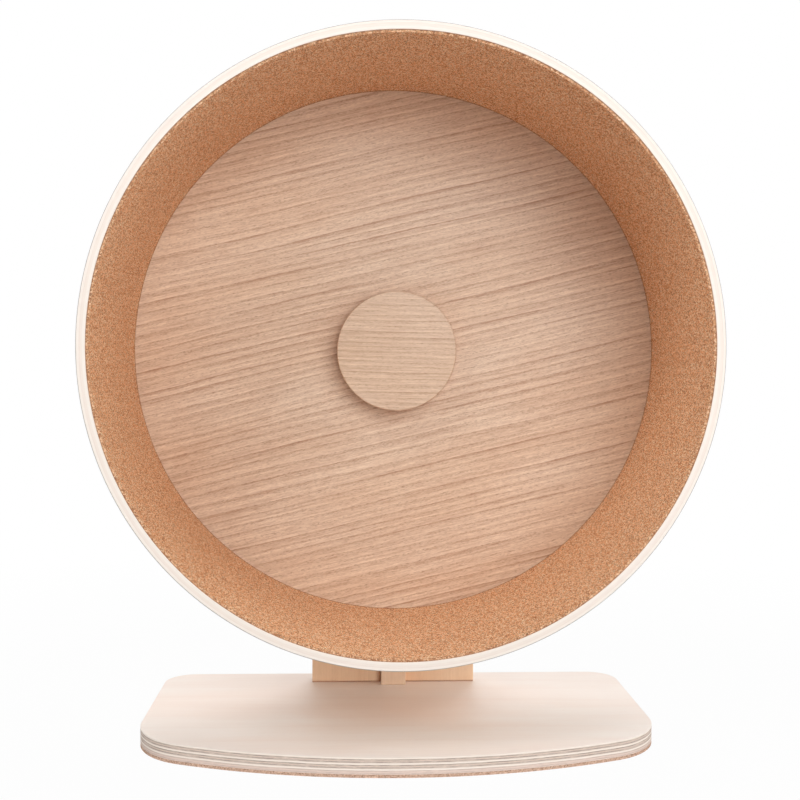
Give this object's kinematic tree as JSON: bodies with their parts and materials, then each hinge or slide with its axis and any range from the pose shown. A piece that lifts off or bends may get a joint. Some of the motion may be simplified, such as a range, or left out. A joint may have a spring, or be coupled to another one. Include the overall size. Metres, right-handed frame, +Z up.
{
  "type": "rodent exercise wheel",
  "caption": "Cork-lined plywood running drum with an oak-faced back and round hub cap, turning on ball bearings in front of a plywood stand with a bowed base.",
  "frame": {"origin": "under the middle of the bounding box, on the face that the base rests on", "axes": "+Z up, -Y out of the drum's open side, +X to the right as seen from the open side; the axle runs along Y at X = 0, Z = 0.2"},
  "size_m": [0.3, 0.145, 0.35],
  "materials": {
    "base_plywood": "matte",
    "cork_pad": "matte",
    "stand_plywood": "matte",
    "hoop_plywood": "matte",
    "cork_track": "matte",
    "oak_veneer": "matte",
    "oak_cap": "matte",
    "beech": "matte",
    "zinc_steel": "satin",
    "bearing_steel": "polished",
    "shield_steel": "satin",
    "cage_plastic": "matte"
  },
  "bodies": {
    "stand": {"base_board": "base_plywood", "base_cork_pad": "cork_pad", "base_screws": "zinc_steel", "upright_board": "stand_plywood", "upright_rib": "stand_plywood", "axle_bolt": "zinc_steel", "axle_washer": "zinc_steel", "axle_spacer": "zinc_steel", "axle_tee_nut": "zinc_steel", "front_bearing_inner_ring": "bearing_steel", "rear_bearing_inner_ring": "bearing_steel", "inner_ring_shim": "bearing_steel"},
    "wheel": {"rim_hoop": "hoop_plywood", "running_track": "cork_track", "back_plate": "oak_veneer", "hub_boss": "beech", "hub_cap": "oak_cap", "hub_retaining_plate": "zinc_steel", "hub_screws": "zinc_steel", "front_bearing_outer_ring": "bearing_steel", "rear_bearing_outer_ring": "bearing_steel", "front_bearing_shields": "shield_steel", "rear_bearing_shields": "shield_steel"},
    "front_cage": {"front_bearing_cage": "cage_plastic", "front_bearing_balls": "bearing_steel"},
    "rear_cage": {"rear_bearing_cage": "cage_plastic", "rear_bearing_balls": "bearing_steel"}
  },
  "joints": [
    {"name": "wheel_spin", "type": "hinge", "parent": "stand", "child": "wheel", "pos_m": [0, 0, 0.2], "axis": [0, 1, 0], "continuous": true},
    {"name": "front_cage_spin", "type": "hinge", "parent": "stand", "child": "front_cage", "pos_m": [0, 0.0325, 0.2], "axis": [0, 1, 0], "continuous": true},
    {"name": "rear_cage_spin", "type": "hinge", "parent": "stand", "child": "rear_cage", "pos_m": [0, 0.0395, 0.2], "axis": [0, 1, 0], "continuous": true}
  ],
  "couplings": [
    {"joint": "front_cage_spin", "follows": "wheel_spin", "ratio": 0.64},
    {"joint": "rear_cage_spin", "follows": "wheel_spin", "ratio": 0.64}
  ]
}
